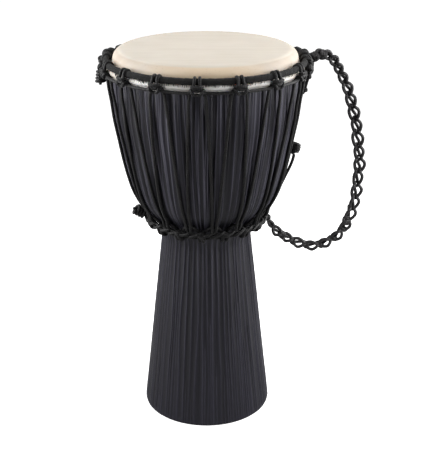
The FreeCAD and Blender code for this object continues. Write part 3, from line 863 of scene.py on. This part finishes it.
def wrapped_ring(name, node, ring):
    """A ring bound with a strip of cloth, each turn lapping over the one before."""
    radius, height, across = ring
    count = int(2 * math.pi * radius / CLOTH_STEP)
    turns = 2 * np.pi * np.arange(CLOTH_SIDES) / CLOTH_SIDES
    around = np.arange(count) / count
    phase = (around[:, None] * round(2 * math.pi * radius / STRIP) - turns[None] / (2 * np.pi)) % 1.0
    rng = np.random.default_rng(len(name))
    uneven = 0.08 * np.sin(2 * np.pi * around * 37 + rng.uniform(0, 6))[:, None]
    lap = np.where(phase < LAP, phase / LAP, 1 - (phase - LAP) * 0.55)
    half = across / 2 - 0.75 + 0.7 * lap + uneven
    main = 2 * np.pi * around[:, None]
    out = radius + half * np.cos(turns)
    vertices = np.stack([out * np.sin(main), -out * np.cos(main), height + half * np.sin(turns)], axis=-1)
    part = vertices.reshape(-1, 3), *grid(count, count, CLOTH_SIDES, CLOTH_STEP / (math.pi * across),
                                          corners=((0, 0), (1, 0), (1, 1), (0, 1)))
    mesh_object(name, [part], "cloth", [node])


def frays():
    """Loose threads of the crown ring's cloth, hanging down over the white fold."""
    rng = np.random.default_rng(31)
    parts = []
    for angle in rng.uniform(0, 360, THREADS):
        drop = rng.uniform(1.5, 4.2)
        drift = rng.normal(0, 0.25)
        line = np.array([at(angle, 153.6, 579.8), at(angle + drift / 2, 154.0, 578.6 - drop * 0.4),
                         at(angle + drift, 153.6, 578.6 - drop)])
        parts.append(tube(resample(line, 1.0), rng.uniform(0.25, 0.5), 5))
    mesh_object("cloth_threads", parts, "cloth")


def rings():
    """The cloth of the two rings, and bare steel for the rings themselves."""
    wrapped_ring("crown_cloth", "crown_ring_wrap", CROWN)
    wrapped_ring("waist_cloth", "bottom_ring_wrap", WAIST)
    frays()
    for node in ("flesh_ring", "crown_ring", "bottom_ring"):
        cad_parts[node].data.materials.clear()
        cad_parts[node].data.materials.append(MATERIALS["steel"])


# ---- ropes of the two rings
TURN_HALF = 3.5  # half the distance between a hitch's two turns
CROWN_REACH = (CROWN[2] + ROPE) / 2 - 1.8  # the turns bite into the cloth
WAIST_REACH = (WAIST[2] + ROPE) / 2 + 0.2
# A hitch's turns, in degrees of the ring's section, and then half its bar: angle, radius and height.
CROWN_TURNS = (200, 172, 135, 90, 45, 5)
CROWN_BAR = ((1.75, 158.4, 575.6), (1.2, 159.3, 572.4))
WAIST_TURNS = (-140, -95, -50, -10)
WAIST_BAR = ((2.3, 95, 330.5),)
CROSS_BAR = ((2.7, 156.5, 577), (2.4, 160.2, 577.2), (1, 161.9, 577))
CROWN_LOOP = ((0.3, 154.6, 576.6), (1.5, 156.8, 573.6), (2.6, 156.8, 570.4), (4.2, 155.8, 568.3),
              (7.5, 155.3, 567.7))
WAIST_LOOP = ((2.6, 334), (5.3, 340.5), (8.6, 345.5))


def mirrored(half, angle):
    """Points given from the start of a bay to its middle, and the same points back to the other side."""
    mirror = math.radians(angle + BAY / 2)
    across = np.array([math.cos(mirror), math.sin(mirror), 0])
    return half + [point - across * (2 * point @ across) for point in half[::-1]]


def near(angle, side, points):
    """Points to one side of an angle: how far from it, radius and height."""
    return [at(angle + side * apart, radius, z) for apart, radius, z in points]


def hitch(ring, reach, turns, bar, angle):
    """Two turns round a ring, joined by a bar in front of them."""
    left, right = ([round_ring(ring, angle, side * TURN_HALF, reach, degrees) for degrees in turns]
                   + near(angle, side, bar) for side in (-1, 1))
    return rope(left + right[::-1])


def cross_bar(angle):
    """The short length that crosses in front of a hitch's turns and tucks in behind them."""
    return rope(near(angle, -1, CROSS_BAR) + near(angle, 1, CROSS_BAR[::-1]))


def crown_loop(angle):
    """The loop from one hitch to the next, flat under the white fold."""
    return rope(mirrored(near(angle, 1, CROWN_LOOP), angle))


def waist_loop(angle):
    """The loop that stands up from the waist ring between two hitches."""
    half = [on_bowl(angle + along, z, ROPE / 2 + 0.1) for along, z in WAIST_LOOP]
    return rope(mirrored(half, angle))


def cradle_ropes():
    """The ropes of the crown ring and the waist ring, hitch by hitch."""
    crown, waist = [], []
    for angle in HITCHES:
        crown += [hitch(CROWN, CROWN_REACH, CROWN_TURNS, CROWN_BAR, angle), cross_bar(angle),
                  crown_loop(angle)]
        waist += [hitch(WAIST, WAIST_REACH, WAIST_TURNS, WAIST_BAR, angle), waist_loop(angle)]
    mesh_object("crown_rope", crown, "rope", ["crown_cradle_rope"])
    mesh_object("waist_rope", waist, "rope", ["bottom_cradle_rope"])


# ---- lacing
# From the middle of a hitch over the crown loop: angle, radius and height.
LACING_TOP = ((0, 157.4, 566), (1.2, 158.4, 566), (2.2, 160.2, 568.2), (2.8, 159.4, 571.6),
              (3.1, 155.6, 572.8), (3.6, 151.4, 568.8), (4.3, 150.6, 561), (4.9, 149.6, 549))
# Down the bowl: heights, and how far the rope's middle is off the wood, which it comes to gradually.
LACING_RUN = [(524, 3), (500, 2.2)] + [(z, 1.8) for z in (483, 466, 450, 434, 406, 382, 366)]
LACING_LOW = 356.0
LACING_LOW_ANGLE = BAY / 2 - 1.9


def lacing_half():
    """From the middle of a hitch over the crown loop, down the bowl, and round the waist loop."""
    line = [at(*place) for place in LACING_TOP]
    start, _, top = LACING_TOP[-1]
    for z, lift in LACING_RUN:
        share = (top - z) / (top - LACING_LOW)
        line.append(on_bowl(start + share * (LACING_LOW_ANGLE - start), z, lift))
    line.append(on_bowl(LACING_LOW_ANGLE - 0.1, 352.5, ROPE / 2 + 1.0))
    line.append(on_bowl(LACING_LOW_ANGLE + 0.2, 346.0, ROPE * 1.5))
    line.append(on_bowl(BAY / 2 - 0.9, 340.5, ROPE * 1.3))
    return line


def lacing():
    """One rope: sixteen V's round the bowl."""
    bay = mirrored(lacing_half(), 0)[:-1]
    points = []
    for angle in HITCHES:
        side = tangent(angle)
        rotation = np.array([[side[0], -side[1], 0], [side[1], side[0], 0], [0, 0, 1]])
        points += [rotation @ point for point in bay]
    mesh_object("lacing", [rope(points, closed=True)], "rope", ["lacing_rope"])


# ---- the waist row
CROSSINGS = 17
ROW_TAIL_ANGLES = (-24.5, -3)
ROW_TAIL = ((-4, 96.5, 332), (-1.5, 98, 328), (0, 97, 323.5), (0.6, 95, 319.5))


def waist_row():
    """The end of the lacing, woven round the waist: two lengths that cross over each other."""
    rng = np.random.default_rng(21)
    parts = []
    steps = CROSSINGS * 8
    for strand in (0, 1):
        points = []
        for index in range(steps):
            turn = 2 * math.pi * CROSSINGS * index / steps + strand * math.pi
            angle = 360 * index / steps + 1.5 * math.sin(turn * 2)
            z = ROW[1] - 3.2 + 3.7 * math.sin(turn) + rng.normal(0, 0.4)
            radius = ROW[0] + 1.2 + 2.4 * math.cos(turn)
            points.append(at(angle, radius, z))
        parts.append(rope(points, closed=True))
    parts += [rope(near(angle, 1, ROW_TAIL)) for angle in ROW_TAIL_ANGLES]
    mesh_object("woven_row", parts, "rope", ["waist_row_rope"])


# ---- knots, coils and ties
COIL_STEPS = 10  # points in one turn of a coil


def coil(centre, way, turns, diameter):
    """Rope wound round its own end: a helix, and the straight end inside it."""
    place = winding(centre, way)
    radius = (diameter - ROPE) / 2
    length = turns * ROPE * 1.02
    steps = turns * COIL_STEPS
    points = [place(radius, 2 * math.pi * step / COIL_STEPS, (step / steps - 0.5) * length)
              for step in range(steps + 1)]
    core = [place(0.0, 0.0, share * length) for share in (-0.68, -0.2, 0.2, 0.68)]
    return [rope(points), rope(core)]


def ring_turns(ring, angle, start, end):
    """Three turns side by side round a wrapped ring."""
    reach = (ring[2] + ROPE) / 2
    return [rope([round_ring(ring, angle, index * (ROPE + 0.1), reach, degrees)
                  for degrees in np.linspace(start, end, 12)]) for index in (-1, 0, 1)]


def tied(angle, radius, z, turns, diameter, rise=0.0):
    """A knot on a ring's ropes, which runs along the ring and may rise."""
    return knot(at(angle, radius, z), tangent(angle) + (0, 0, rise), turns, diameter)


def left_knots():
    """The knots at the drum's left, the coil of spare rope under them, and the one at the waist."""
    side = at(-89.6, 158.2, 570.5)
    parts = ring_turns(CROWN, -102.6, -60, 190)
    parts += [tied(-101, 155.5, 585, 3, 14.5, rise=-0.3),
              knot(at(-96.5, 157.8, 579), (0.3, 0.2, 1), 2, 12), knot(side, (0.2, 1, 0.5), 3, 13)]
    mesh_object("left_knots", parts, "rope", ["crown_rope_knots"])
    parts = coil(at(-89.6, 159.5, 556.6), (0.12, 0.1, 1), 4, 17)
    parts.append(rope([side, at(-89.6, 160.2, 566), at(-89.6, 159.8, 562)]))
    mesh_object("left_coil", parts, "rope", ["crown_rope_coil"])
    centre = at(-83, 105.5, 340.5)
    parts = coil(centre, (0.75, 0.15, -0.45), 4, 19)
    parts.append(rope([centre + (8, 1.5, -5), at(-80, 97, 332), at(-74, 96.5, 328)]))
    mesh_object("waist_coil", parts, "rope", ["waist_rope_coil"])


STOPPER_ANGLE = 88.5
STOPPER_RUN = ((434, 10), (424, 9.8), (412, 8.2), (398, 5.6), (384, 3.6), (370, 3), (357, 3), (345, 3))


def stopper():
    """The stopper knot that hangs off the bowl at the right, and the strand that runs down from it."""
    centre = at(89.7, 140.9, 439.9)
    parts = [knot(centre + (0, 0, 1), (0.3, 0.25, 1), 4, 15.5),
             knot(centre + (-2, 0, 2), (1, -0.5, 0.2), 2, 12.5)]
    mesh_object("stopper", parts, "rope", ["stopper_knot"])
    strand = [on_bowl(STOPPER_ANGLE, z, lift) for z, lift in STOPPER_RUN]
    mesh_object("stopper_line", [rope(strand)], "rope", ["stopper_strand"])


# The tie's tails: degrees past it, radius and height.
TIE_TAIL = ((0.6, 160.5, 563), (1.4, 159, 552), (1.2, 156, 541), (1.6, 154, 531))


def handle_ties():
    """What holds the handle: the turns and knots of its top tie, the tie's tails, and its bottom tie."""
    top, low = TOP_TIE_ANGLE, LOW_TIE_ANGLE
    parts = ring_turns(CROWN, top, -55, 200)
    parts += [tied(top - 15.5, 157.6, 574, 3, 12.5, rise=0.5),
              knot(at(top - 11.5, 157, 584), (0.3, 0.2, 1), 2, 12.5),
              tied(top, 159.5, 570.5, 3, 13.5),
              knot(at(top, 160.5, 583), (1, 0, 0.45), 3, 13.5),
              knot(at(top - 6.5, 155, 585.5), (0.4, 1, 0.2), 2, 11),
              tied(top + 7.5, 155, 584.5, 3, 15),
              tied(top - 4.5, 157, 568.5, 2, 12.5)]
    mesh_object("top_tie", parts, "rope", ["handle_top_tie"])
    parts = [rope(near(top, 1, TIE_TAIL)), knot(at(top + 1.2, 158.5, 552), (0.1, -0.2, 1), 2, 11),
             knot(at(top + 1.6, 154, 530.5), (0.1, 0.2, 1), 2, 9.6)]
    mesh_object("tie_tails", parts, "rope", ["handle_tie_tails"])
    parts = ring_turns(WAIST, low, -150, 60)
    parts += [knot(at(low - 0.5, 99.6, 321.5), (0.24, 0, 0.97), 2, 11.5),
              knot(at(low + 0.6, 96, 338.5), tangent(low) + (0, 0, 0.4), 2, 12.5)]
    mesh_object("bottom_tie", parts, "rope", ["handle_bottom_tie"])


# ---- the drum
shell()
skin()
hem()
rings()
cradle_ropes()
lacing()
waist_row()
left_knots()
stopper()
handle_ties()
